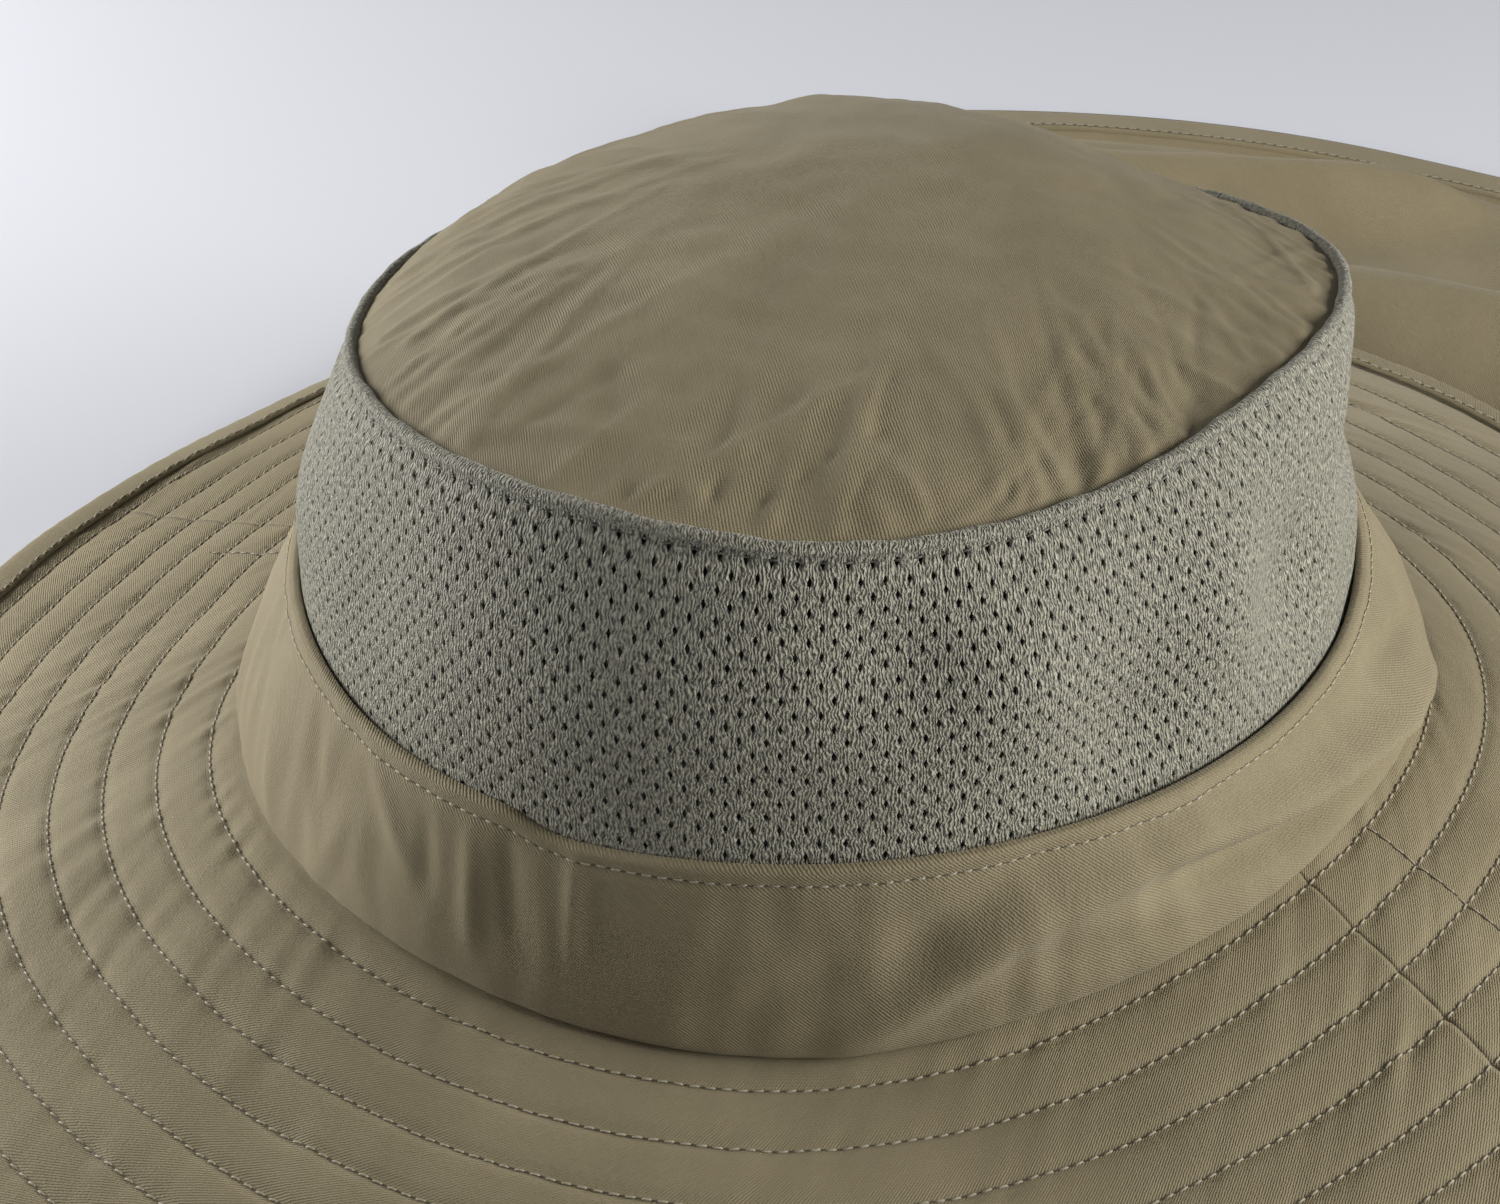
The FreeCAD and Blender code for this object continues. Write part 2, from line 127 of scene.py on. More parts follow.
CROWN_MIDDLE = (0, 0, 0.07)
soft_light("left_strip", (-0.80, -0.12, 0.28), CROWN_MIDDLE, 0.6, 0.4, 10.2, (1.0, 0.99, 0.97))
soft_light("right_strip", (0.78, 0.15, 0.32), CROWN_MIDDLE, 0.5, 0.35, 9.3, (1.0, 0.99, 0.97))
soft_light("back_top", (-0.1, 1.3, 1.3), (0, 0.1, 0), 1.6, 1.0, 1.2, (0.97, 0.98, 1.0))
world = bpy.data.worlds.new("studio")
bpy.context.scene.world = world
world.use_nodes = True
world.node_tree.nodes["Background"].inputs["Color"].default_value = (0.93, 0.95, 1.0, 1)
world.node_tree.nodes["Background"].inputs["Strength"].default_value = 0.175


# %% [markdown]
# ## How the hat slouches
# A soft hat is never a true oval. Three seams carry its shape: where the crown meets the brim, where the
# band meets the mesh, and where the mesh meets the top panel. Each seam is a circle that a few slow waves
# push in, out, up and down, and everything else hangs between the seams. An angle of 0 is the front, and
# angles grow towards the wearer's left.

# %% Waves round the hat
def waves(angle, parts):
    """Sum of slow waves: each has a count round the hat, a size in mm and the angle of its crest."""
    total = 0.0
    for count, height, crest in parts:
        total = total + height * MM * np.cos(count * (angle - math.radians(crest)))
    return total


def around(angle, values):
    """Smooth curve through values in mm, evenly spaced round the hat from the front."""
    table = np.array(values, float) * MM
    place = (angle / TURN % 1.0) * len(table)
    step = np.floor(place).astype(int)
    t = place - step
    before, here, after, beyond = (table[(step + k) % len(table)] for k in (-1, 0, 1, 2))
    return 0.5 * (2 * here + (after - before) * t + (2 * before - 5 * here + 4 * after - beyond) * t ** 2
                  + (3 * here - before - 3 * after + beyond) * t ** 3)


def bump_at(value, middle, width):
    """One soft bump, 1 at its middle."""
    return np.exp(-((value - middle) / width) ** 2)


def fold_between(flat, start, end, width, bow=0.0):
    """One soft fold along a line on flat cloth, in mm: 1 on its crest, dying away at both ends."""
    run = np.subtract(end, start)
    away = flat - start
    share = away @ run / (run @ run)
    off = (run[0] * away[..., 1] - run[1] * away[..., 0]) / np.linalg.norm(run) + bow * np.sin(4 * share)
    return np.exp(-(off / width) ** 2) * np.exp(-((share - 0.5) / 0.55) ** 4)


def turn_from(angle, degrees):
    """Signed angle in degrees from a place round the hat."""
    return (np.degrees(angle) - degrees + 180) % 360 - 180


def base_seam(angle):
    """Radius and height of the seam between crown and brim."""
    radius = 98.8 * MM + waves(angle, [(2, 2.9, -51), (3, 2.2, -9)])
    height = 36.0 * MM + waves(angle, [(1, 6.3, 144), (2, 1.5, -16), (3, 4.6, -29)])
    return radius, height


def band_seam(angle):
    """Radius and height of the band's top edge."""
    radius = 93.0 * MM + waves(angle, [(1, 2.0, 123), (2, 4.5, 3)])
    height = 66.5 * MM + waves(angle, [(1, 0.7, -65), (2, 1.5, -14), (3, 1.4, 55)])
    return radius, height


# Height of the top seam in mm, every 30 degrees from the front towards the wearer's left.
TOP_SEAM_HEIGHTS = [118, 113.7, 112, 113.5, 109, 99.5, 92, 90, 92, 98, 104.5, 113.5]


def top_seam(angle):
    """Radius and height of the seam under the mesh's folded lip."""
    radius = 83.9 * MM + waves(angle, [(1, 2.7, 152), (2, 4.8, -6), (3, 2.5, 10)])
    return radius, around(angle, TOP_SEAM_HEIGHTS)


def stand(radius, angle, height):
    """Points at a radius and a height, at angles round the hat."""
    return np.stack([radius * np.sin(angle), -radius * np.cos(angle), height + 0 * angle], -1)


def outward(angle, step=0.01):
    """Level direction square to the base seam, pointing out over the brim."""
    ahead = stand(base_seam(angle + step)[0], angle + step, 0)
    behind = stand(base_seam(angle - step)[0], angle - step, 0)
    along = ahead - behind
    along /= np.linalg.norm(along, axis=-1, keepdims=True)
    return np.stack([along[..., 1], -along[..., 0], 0 * angle], -1)


# %% [markdown]
# ## Laying cloth
# One helper adds a flat grid primitive and keeps its flat coordinates. A piece's own function then says
# where each point of the flat cloth goes. The UV map holds the flat cloth in metres, so a weave has its
# real size everywhere. Tubes are closed by merging their first and last columns.

# %% Cloth helpers
def flat_cloth(name, columns, rows):
    """A flat grid, from 0 to 1 both ways: its x runs along the cloth and its y across it."""
    bpy.ops.object.select_all(action="DESELECT")
    bpy.ops.mesh.primitive_grid_add(x_subdivisions=columns, y_subdivisions=rows, size=1,
                                    location=(0.5, 0.5, 0))
    piece = bpy.context.object
    bpy.ops.object.transform_apply(location=True, rotation=True, scale=True)
    piece.name = name + "_cloth"
    return piece


def points_of(piece):
    """All points of a piece's mesh."""
    flat = np.empty(len(piece.data.vertices) * 3)
    piece.data.vertices.foreach_get("co", flat)
    return flat.reshape(-1, 3)


def set_points(piece, points):
    """Moves every point of a piece's mesh."""
    piece.data.vertices.foreach_set("co", np.ascontiguousarray(points).ravel())
    piece.data.update()


def lay(piece, place, along, across):
    """Bends flat cloth into its place and maps its flat size; across may be a function of the share v."""
    flat = points_of(piece)
    corners = np.empty(len(piece.data.loops), int)
    piece.data.loops.foreach_get("vertex_index", corners)
    layer = piece.data.uv_layers[0] if piece.data.uv_layers else piece.data.uv_layers.new(name="UVMap")
    up = across(flat[:, 1]) if callable(across) else flat[:, 1] * across
    layer.data.foreach_set("uv", np.stack([flat[corners, 0] * along, up[corners]], -1).ravel())
    set_points(piece, place(flat[:, 0], flat[:, 1]))


def edit(piece, *steps):
    """Runs edit-mode steps on the whole of one piece."""
    bpy.ops.object.select_all(action="DESELECT")
    piece.select_set(True)
    bpy.context.view_layer.objects.active = piece
    bpy.ops.object.mode_set(mode="EDIT")
    bpy.ops.mesh.select_all(action="SELECT")
    for step in steps:
        step()
    bpy.ops.object.mode_set(mode="OBJECT")


def close_tube(piece):
    """Joins the first and last column of a tube of cloth."""
    edit(piece, lambda: bpy.ops.mesh.remove_doubles(threshold=1e-6))


def thicken(piece, thickness):
    """Gives cloth its thickness, inwards from the laid surface."""
    wall = piece.modifiers.new("thickness", "SOLIDIFY")
    wall.thickness = thickness
    wall.offset = -1
    wall.use_even_offset = False
    bpy.context.view_layer.objects.active = piece
    bpy.ops.object.modifier_apply(modifier=wall.name)


pieces_made = {}


def sew_on(piece, finish, body, slot, *nodes):
    """Gives a piece its finish and body, hides the nodes it stands for and keeps it under the first; its
    slot is not used, and a blended piece has no body.
    """
    piece.data.materials.clear()
    piece.data.materials.append(finish)
    bpy.ops.object.select_all(action="DESELECT")
    piece.select_set(True)
    bpy.context.view_layer.objects.active = piece
    bpy.ops.object.shade_smooth()
    if body:
        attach(piece, body)
    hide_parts(*nodes)
    pieces_made[nodes[0]] = piece
    print("%-22s %6d faces" % (piece.name, len(piece.data.polygons)))
    return piece


# %% [markdown]
# ## Finishes
# The woven cloth is a matt twill with fine diagonal ribs. The ribs and the slow change of colour are one
# node group, since the crown, the brim and the flap all use it. The shader stays in each material, with
# its sheen set on its own socket.

# %% Weave group
def new_group(name, inputs, outputs):
    """An empty node group with named sockets."""
    group = bpy.data.node_groups.new(name, "ShaderNodeTree")
    for socket, kind, value in inputs:
        made = group.interface.new_socket(name=socket, in_out="INPUT", socket_type=kind)
        made.default_value = value
    for socket, kind in outputs:
        group.interface.new_socket(name=socket, in_out="OUTPUT", socket_type=kind)
    return group, group.nodes.new("NodeGroupInput"), group.nodes.new("NodeGroupOutput")


def node(tree, kind, inputs={}):
    """A node with some of its inputs set."""
    made = tree.nodes.new("ShaderNode" + kind)
    for key, value in inputs.items():
        made.inputs[key].default_value = value
    return made


def maths(tree, operation, first, second=None):
    """A Math node; each input is a socket or a number."""
    made = tree.nodes.new("ShaderNodeMath")
    made.operation = operation
    for index, value in enumerate((first, second)):
        if value is None:
            continue
        if isinstance(value, (int, float)):
            made.inputs[index].default_value = value
        else:
            tree.links.new(value, made.inputs[index])
    return made.outputs[0]


def mix_colours(tree, factor, first, second):
    """Mixes two colours by a factor; each is a socket or a colour."""
    made = tree.nodes.new("ShaderNodeMix")
    made.data_type = "RGBA"
    for socket, value in ((made.inputs[0], factor), (made.inputs[6], first), (made.inputs[7], second)):
        if isinstance(value, bpy.types.NodeSocket):
            tree.links.new(value, socket)
        else:
            socket.default_value = value
    return made.outputs[2]


def weave_group():
    """Fine diagonal twill ribs, and a shade of colour that is darker in their low places as painted shade
    and changes in slow random clouds, from a piece's own flat cloth.
    """
    group, given, out = new_group(
        "twill_weave",
        [("Rib Size", "NodeSocketFloat", 0.0007), ("Cloud Size", "NodeSocketFloat", 0.03)],
        [("Height", "NodeSocketFloat"), ("Shade", "NodeSocketFloat")])
    cloth = group.nodes.new("ShaderNodeUVMap")
    split = group.nodes.new("ShaderNodeSeparateXYZ")
    group.links.new(cloth.outputs["UV"], split.inputs[0])
    u, v = split.outputs[0], split.outputs[1]
    wobble = node(group, "TexNoise", inputs={"Scale": 900.0, "Detail": 2.0})
    group.links.new(cloth.outputs["UV"], wobble.inputs["Vector"])
    diagonal = maths(group, "ADD", u, maths(group, "MULTIPLY", v, 1.35))
    diagonal = maths(group, "ADD", diagonal, maths(group, "MULTIPLY", wobble.outputs[0], 0.0005))
    rib_count = maths(group, "DIVIDE", diagonal, given.outputs["Rib Size"])
    ribs = maths(group, "SINE", maths(group, "MULTIPLY", rib_count, TURN))
    thread_count = maths(group, "DIVIDE", v, given.outputs["Rib Size"])
    threads = maths(group, "SINE", maths(group, "MULTIPLY", thread_count, TURN * 1.7))
    fuzz = node(group, "TexNoise", inputs={"Scale": 2600.0, "Detail": 3.0})
    group.links.new(cloth.outputs["UV"], fuzz.inputs["Vector"])
    height = maths(group, "ADD", maths(group, "MULTIPLY", ribs, 0.38),
                   maths(group, "MULTIPLY", threads, 0.10))
    height = maths(group, "ADD", height, maths(group, "MULTIPLY", fuzz.outputs[0], 1.2))
    mottle = node(group, "TexNoise", inputs={"Scale": 750.0, "Detail": 2.0})
    group.links.new(cloth.outputs["UV"], mottle.inputs["Vector"])
    height = maths(group, "ADD", height, maths(group, "MULTIPLY", mottle.outputs[0], 0.9))
    cloud = node(group, "TexNoise", inputs={"Detail": 3.0})
    group.links.new(cloth.outputs["UV"], cloud.inputs["Vector"])
    group.links.new(maths(group, "DIVIDE", 1.0, given.outputs["Cloud Size"]), cloud.inputs["Scale"])
    # Shade of colour: a fifth of the relief, which paints shade into the weave's low places, plus slow
    # random clouds of tone.
    shade = maths(group, "ADD", maths(group, "MULTIPLY", height, 0.20), cloud.outputs[0])
    group.links.new(height, out.inputs["Height"])
    group.links.new(shade, out.inputs["Shade"])
    return group


TWILL = weave_group()


# %% [markdown]
# ## The woven cloth
# Top, band, brim and flap are cut from one taupe cloth. Its colour runs between two close shades along the
# weave's own relief, darker in its low places as painted shade, so ribs and shade always agree, and in slow
# random clouds.
# A real image of cloth could do this, but a pattern worked out from the flat cloth never repeats and keeps
# its size on every piece.

# %% Woven cloth
def woven_finish(name, light, dark, rib_size=0.0007, relief=0.00022, roughness=0.72):
    """Twill in two close shades, with a soft sheen."""
    finish = bpy.data.materials.new(name)
    finish.use_nodes = True
    tree = finish.node_tree
    shader = tree.nodes["Principled BSDF"]
    weave = tree.nodes.new("ShaderNodeGroup")
    weave.node_tree = TWILL
    weave.inputs["Rib Size"].default_value = rib_size
    # The colour ramp is darker where the weave's relief is low, which is painted shade in its hollows, mixed
    # with random clouds of tone.
    ramp = node(tree, "MapRange", inputs={"From Min": 0.42, "From Max": 1.18})
    tree.links.new(weave.outputs["Shade"], ramp.inputs[0])
    tree.links.new(mix_colours(tree, ramp.outputs[0], dark, light), shader.inputs["Base Color"])
    bump = node(tree, "Bump", inputs={"Strength": 0.55, "Distance": relief})
    tree.links.new(weave.outputs["Height"], bump.inputs["Height"])
    tree.links.new(bump.outputs[0], shader.inputs["Normal"])
    shader.inputs["Roughness"].default_value = roughness
    shader.inputs["Specular IOR Level"].default_value = 0.3
    shader.inputs["Sheen Weight"].default_value = 0.18
    shader.inputs["Sheen Roughness"].default_value = 0.45
    shader.inputs["Sheen Tint"].default_value = (0.95, 0.90, 0.78, 1)
    return finish


TAUPE_LIGHT = (0.275, 0.230, 0.138, 1)
TAUPE_DARK = (0.190, 0.156, 0.088, 1)
woven = woven_finish("taupe_twill", TAUPE_LIGHT, TAUPE_DARK)
lining_cloth = woven_finish("sweatband_cloth", (0.20, 0.175, 0.125, 1), (0.14, 0.12, 0.085, 1), 0.0006)
stiffener = woven_finish("stiffener_felt", (0.72, 0.71, 0.66, 1), (0.6, 0.59, 0.55, 1), 0.002)


# %% [markdown]
# ## The knit
# The mesh is a warp knit: upright wales of small loops, pale on their crests and dark between, where the
# dark is painted shade in the low places between the loops. The holes are real and are cut into the piece
# later, so this finish only has to make the loops.

# %% Knit mesh
def knit_finish():
    """Sage knit: wavy upright wales of small loops, lighter on their crests and dark between them as painted
    shade.
    """
    finish = bpy.data.materials.new("sage_knit_mesh")
    finish.use_nodes = True
    tree = finish.node_tree
    shader = tree.nodes["Principled BSDF"]
    cloth = tree.nodes.new("ShaderNodeUVMap")
    split = tree.nodes.new("ShaderNodeSeparateXYZ")
    tree.links.new(cloth.outputs["UV"], split.inputs[0])
    wobble = node(tree, "TexNoise", inputs={"Scale": 520.0, "Detail": 2.0})
    tree.links.new(cloth.outputs["UV"], wobble.inputs["Vector"])
    across = maths(tree, "ADD", split.outputs[0], maths(tree, "MULTIPLY", wobble.outputs[0], 0.0022))
    wales = maths(tree, "SINE", maths(tree, "MULTIPLY", across, TURN / 0.00060))
    loops = node(tree, "TexNoise", inputs={"Scale": 1.0, "Detail": 2.0, "Roughness": 0.6})
    stretch = node(tree, "Mapping", inputs={"Scale": (2100, 850, 1)})
    tree.links.new(cloth.outputs["UV"], stretch.inputs[0])
    tree.links.new(stretch.outputs[0], loops.inputs["Vector"])
    ends = node(tree, "TexNoise", inputs={"Scale": 1500.0, "Detail": 1.0})
    tree.links.new(cloth.outputs["UV"], ends.inputs["Vector"])
    height = maths(tree, "ADD", maths(tree, "MULTIPLY", wales, 0.22),
                   maths(tree, "MULTIPLY", loops.outputs[0], 1.5))
    height = maths(tree, "ADD", height, maths(tree, "MULTIPLY", ends.outputs[0], 0.9))
    # Colour follows the relief: pale on the loops' crests, and dark in the low places between them as
    # painted shade.
    ramp = node(tree, "MapRange", inputs={"From Min": 0.85, "From Max": 1.58})
    tree.links.new(height, ramp.inputs[0])
    tree.links.new(mix_colours(tree, ramp.outputs[0], (0.044, 0.041, 0.027, 1), (0.39, 0.373, 0.282, 1)),
                   shader.inputs["Base Color"])
    bump = node(tree, "Bump", inputs={"Strength": 0.9, "Distance": 0.0004})
    tree.links.new(height, bump.inputs["Height"])
    tree.links.new(bump.outputs[0], shader.inputs["Normal"])
    shader.inputs["Roughness"].default_value = 0.7
    shader.inputs["Sheen Weight"].default_value = 0.15
    return finish


knit = knit_finish()


# %% [markdown]
# ## Thread
# The thread is paler than the cloth and a little glossy. One finish with three pairs of colours makes the
# pale thread, the grey thread on the mesh, and the shadow in a needle hole.

# %% Sewing thread
def thread_finish(name, light, dark):
    """Twisted thread with a slight gloss, paler than the cloth."""
    finish = bpy.data.materials.new(name)
    finish.use_nodes = True
    tree = finish.node_tree
    shader = tree.nodes["Principled BSDF"]
    place = tree.nodes.new("ShaderNodeTexCoord")
    twist = node(tree, "TexNoise", inputs={"Scale": 2500.0, "Detail": 2.0})
    tree.links.new(place.outputs["Object"], twist.inputs["Vector"])
    tree.links.new(mix_colours(tree, twist.outputs[0], dark, light), shader.inputs["Base Color"])
    bump = node(tree, "Bump", inputs={"Strength": 0.5, "Distance": 0.0001})
    tree.links.new(twist.outputs[0], bump.inputs["Height"])
    tree.links.new(bump.outputs[0], shader.inputs["Normal"])
    shader.inputs["Roughness"].default_value = 0.5
    return finish


thread = thread_finish("pale_thread", (0.40, 0.36, 0.265, 1), (0.23, 0.20, 0.135, 1))
grey_thread = thread_finish("grey_thread", (0.12, 0.112, 0.09, 1), (0.05, 0.047, 0.037, 1))
# A painted shadow: a dark finish for the patch beside each stitch where its needle hole is shaded.
needle_hole_shadow = thread_finish("needle_hole_shadow", (0.085, 0.070, 0.045, 1), (0.05, 0.04, 0.026, 1))

# %% [markdown]
# ## The brim
# The brim is two plies of cloth over a stiffener, held flat by one line of quilting that winds out from the
# crown in a spiral. Each ply is a half ring, seamed at the sides. The quilting pulls a narrow valley
# between soft ridges, and draws up small puckers that run across the rows.

# %% Surface of the brim
RIM_WAVES = [(1, 2.1, 184), (2, 4.3, -28), (3, 1.5, -18)]
RIM_FLOOR = 2.2 * MM


def rows_out(angle, distance):
    """How many rows of quilting lie between the crown and a point: whole at a row."""
    start = FIRST_ROW + ROW_PITCH * ((SPIRAL_START - angle) % TURN) / TURN
    return (distance - start) / ROW_PITCH


def brim_level(angle, distance):
    """Height of the plain brim, before quilting: it falls away from the crown and levels out."""
    height = base_seam(angle)[1] - 0.35 * distance + 0.75 * distance ** 2
    height = height + waves(angle, RIM_WAVES) / MM * 0.01 * distance
    height = height + 0.9 * MM * (distance / BRIM_WIDTH) ** 2 * np.sin(7 * angle + 0.6)
    over = (height - RIM_FLOOR) / (2 * MM)
    return RIM_FLOOR + 2 * MM * np.where(over > 20, over, np.log1p(np.exp(np.minimum(over, 20))))


def quilt_relief(angle, distance):
    """Valleys at the rows, soft ridges between them, and puckers across them."""
    rows = rows_out(angle, distance)
    off = rows - np.round(rows)
    quilted = np.where((np.round(rows) >= 0) & (np.round(rows) <= ROW_COUNT), 1.0, 0.0)
    ridge = (np.sin(math.pi * rows) ** 2 + 0.012) ** 0.42 - 0.6
    near_row = np.exp(-(off * ROW_PITCH / (2.4 * MM)) ** 2)
    along = angle * (99 * MM + distance)
    fine = np.array([noise.noise((a / (4.4 * MM), 0.5 * b, 0.3)) for a, b in zip(along, rows)])
    slow = np.array([noise.noise((a / (30 * MM), b, 7)) for a, b in zip(along, rows)])
    pucker = fine * (0.6 + 1.1 * slow)
    gather = 0.40 + 0.60 * bump_at(turn_from(angle, -48), 0, 42)
    gather = gather + 0.35 * bump_at(turn_from(angle, 85), 0, 30)
    valley = -0.38 * np.exp(-(off * ROW_PITCH / (1.0 * MM)) ** 2)
    return quilted * MM * (0.36 * ridge + valley + 0.95 * gather * (0.45 + 0.55 * near_row) * pucker)


def slow_ripple(points, size, height):
    """Gentle unevenness of soft cloth, the same each time."""
    return height * np.array([noise.noise(Vector(p) / size) for p in points])


def brim_surface(angle, distance, below=0.0, quilted=True):
    """Points of the brim, a distance out from the crown and some way under its upper face."""
    radius, _ = base_seam(angle)
    foot = stand(radius, angle, 0)
    height = brim_level(angle, distance) - below
    if quilted:
        height = height + quilt_relief(angle, distance)
    points = foot + outward(angle) * distance[:, None]
    points[:, 2] = height
    points[:, 2] += slow_ripple(points * (1, 1, 0), 0.022, 0.7 * MM) * np.clip(distance / 0.02, 0, 1)
    return points


# %% Plies and stiffener
SIDE_SEAM_LEFT = math.radians(77)
SIDE_SEAM_RIGHT = math.radians(-99)
PLY_INNER = -2.0 * MM
PLY_OUTER = BRIM_WIDTH - 1.2 * MM


def brim_ply(name, start, end, below, columns, rows, flip=False):
    """A half ring of brim cloth between two angles."""
    ply = flat_cloth(name, columns, rows)

    def place(u, v):
        angle = start + (end - start) * u
        return brim_surface(angle, PLY_INNER + (PLY_OUTER - PLY_INNER) * v, below)

    lay(ply, place, (end - start) * 0.14, PLY_OUTER - PLY_INNER)
    if flip:
        edit(ply, bpy.ops.mesh.flip_normals)
    thicken(ply, 0.7 * MM)
    return ply


FULL_REAR = SIDE_SEAM_RIGHT + TURN
for name, start, end in (("brim_top_front", SIDE_SEAM_LEFT, SIDE_SEAM_RIGHT),
                         ("brim_top_rear", FULL_REAR, SIDE_SEAM_LEFT)):
    ply = brim_ply(name, start, end, 0.0, 390, 116)
    sew_on(ply, woven, "root", "woven_cloth", name)
for name, start, end in (("brim_under_front", SIDE_SEAM_LEFT, SIDE_SEAM_RIGHT),
                         ("brim_under_rear", FULL_REAR, SIDE_SEAM_LEFT)):
    ply = brim_ply(name, start, end, 2.4 * MM, 300, 60, flip=True)
    sew_on(ply, woven, "root", "woven_cloth", name)


def filler_place(u, v):
    """A point of the stiffener, which is not quilted: the rows of sewing only press it flat."""
    return brim_surface(-TURN * u, PLY_INNER + (PLY_OUTER - PLY_INNER) * v, 1.2 * MM, False)


filler = flat_cloth("brim_stiffener", 200, 12)
lay(filler, filler_place, 0.88, PLY_OUTER - PLY_INNER)
close_tube(filler)
thicken(filler, 0.4 * MM)
sew_on(filler, stiffener, "root", "stiffener", "brim_stiffener")

# %% [markdown]
# ## The binding
# The rim is bound with a folded strip. It is one long tube of cloth, rolled over the edge: its section runs
# from the inner edge on top, round the rim and back underneath.

# %% Binding
# Section of the folded strip: mm outwards from the rim's edge and mm up from the brim's upper face.
BINDING_SECTION = [(-7.5, 0.35), (-7.3, 0.95), (-6.6, 1.05), (-4.5, 1.15), (-2.2, 1.05), (-0.7, 0.6),
                   (0.0, -0.5), (0.05, -1.6), (-0.5, -2.8), (-2.0, -3.5), (-4.5, -3.6), (-6.9, -3.4),
                   (-7.4, -2.7)]


def binding_place(u, v):
    """A point of the binding: u goes round the rim and v goes round the fold."""
    angle = -TURN * u
    steps = np.linspace(0, 1, len(BINDING_SECTION))
    out = np.interp(v, steps, [p[0] for p in BINDING_SECTION]) * MM
    up = np.interp(v, steps, [p[1] for p in BINDING_SECTION]) * MM
    points = brim_surface(angle, BRIM_WIDTH + out, quilted=False)
    pull = 0.12 * MM * np.sin(angle * 190 + 2 * np.sin(angle * 23)) * np.clip(up / MM, 0, 1)
    points[:, 2] = np.maximum(points[:, 2] + up + pull, 0.15 * MM)
    return points


binding = flat_cloth("brim_edge_binding", 700, 30)
lay(binding, binding_place, 1.14, 0.016)
close_tube(binding)
thicken(binding, 0.35 * MM)
sew_on(binding, woven, "root", "woven_cloth", "brim_edge_binding")

# %% [markdown]
# ## The lower band
# The band is a tube of the same cloth between the brim and the mesh. Its top edge is folded in and
# topstitched, so the cloth dips just under the fold. Slack in the band shows as upright folds on the
# right and long diagonal folds on the left.

# %% Lower band
# Each fold: start and end as degrees round the hat and share of the band's height, width and height in mm.
BAND_FOLDS = [((27, 0.05), (43, 0.58), 4.0, 2.2), ((42, 0.58), (64, 0.80), 4.0, 3.0),
              ((62, 0.76), (96, 0.45), 4.0, 4.0), ((92, 0.46), (112, 0.08), 4.0, 3.0),
              ((60, 0.50), (94, 0.20), 3.4, -4.4), ((45, 0.38), (62, 0.28), 3.0, -0.6),
              ((33, 0.60), (49, 0.95), 3.2, -1.4), ((54, 0.08), (80, 0.08), 3.0, 2.2),
              ((96, 0.75), (112, 0.50), 3.0, -2.4),
              ((14, 0.10), (30, 0.60), 3.6, -0.8), ((4, 0.97), (4, 0.35), 1.7, 1.0),
              ((-3, 0.92), (-2, 0.40), 2.0, -0.8), ((-7, 0.88), (-6, 0.30), 1.8, 0.7),
              ((-12, 0.80), (-11, 0.45), 2.0, -0.6), ((-21, 0.97), (-14, 0.55), 2.2, 0.8),
              ((-22, 0.55), (-25, 0.05), 2.8, 0.7), ((-31, 0.92), (-26, 0.40), 2.4, -0.6),
              ((-39, 0.70), (-35, 0.05), 2.6, 0.7), ((-48, 0.93), (-43, 0.45), 2.4, -0.6),
              ((-57, 0.65), (-53, 0.10), 3.0, 0.8), ((-69, 0.93), (-63, 0.40), 2.6, -0.6)]
MM_PER_DEGREE = 1.72
BAND_RISE_MM = 31.0
BAND_FLAT = np.array((MM_PER_DEGREE, BAND_RISE_MM))


def band_relief(angle, rise):
    """How far the band's cloth stands out, by angle and by share of its height."""
    rise = rise + 0 * angle
    flat = np.stack([turn_from(angle, 0), rise], -1) * BAND_FLAT
    folds = sum(height * fold_between(flat, start * BAND_FLAT, end * BAND_FLAT, width)
                for start, end, width, height in BAND_FOLDS)
    rear_folds = 0.8 * np.sin(angle * 9 + 3 * rise) * bump_at(turn_from(angle, 180), 0, 55)
    slack = np.array([noise.noise((19 * math.cos(a), 19 * math.sin(a), 2.2 * r))
                      for a, r in zip(angle, rise)])
    fade = np.sin(math.pi * np.clip(rise, 0, 1)) ** 0.4
    return MM * (folds + rear_folds + 0.5 * slack) * fade


def band_surface(angle, rise, below=0.0):
    """Points on the outside of the band; rise is 0 at the brim and 1 at its top edge."""
    low_radius, low_height = base_seam(angle)
    high_radius, high_height = band_seam(angle)
    kink = 1.3 * MM * np.tanh(turn_from(angle, -1) / 2.2) * bump_at(turn_from(angle, -1), 0, 14)
    bulge = waves(angle, [(2, 1.2, 95)]) + 2.2 * MM
    radius = low_radius + (high_radius - low_radius) * rise + bulge * np.sin(math.pi * rise ** 0.8)
    radius = radius + band_relief(angle, rise) - below
    stitch = bump_at(rise, 0.915, 0.02)
    edge_roll = np.clip((rise - 0.97) / 0.03, 0, 1) ** 2 * 1.2 * MM
    foot_roll = np.clip((0.06 - rise) / 0.06, 0, 1) ** 2 * 2.2 * MM
    radius = radius - 0.35 * MM * stitch - edge_roll - foot_roll
    height = low_height + (high_height - low_height) * rise - kink * np.clip(rise, 0, 1) ** 6
    return stand(radius, angle, height)


band = flat_cloth("crown_lower_band", 640, 42)
lay(band, lambda u, v: band_surface(TURN * u, v), 0.60, 0.031)
close_tube(band)
thicken(band, 1.0 * MM)
sew_on(band, woven, "root", "woven_cloth", "crown_lower_band")

# %% [markdown]
# ## The mesh
# The mesh is knitted with small holes in staggered rows. They could be painted as see-through spots, but
# real openings keep their edges from close by. So a checkerboard of faces is inset, and its middles are
# turned to diamonds and taken out. The top of the mesh is folded over in a soft round lip, and its stitching
# pulls a groove below it.

# %% Surface of the mesh
MESH_COLUMNS = 300
MESH_ROWS = 33
LIP_START = 24 / MESH_ROWS
LIP_RADIUS = 1.15 * MM
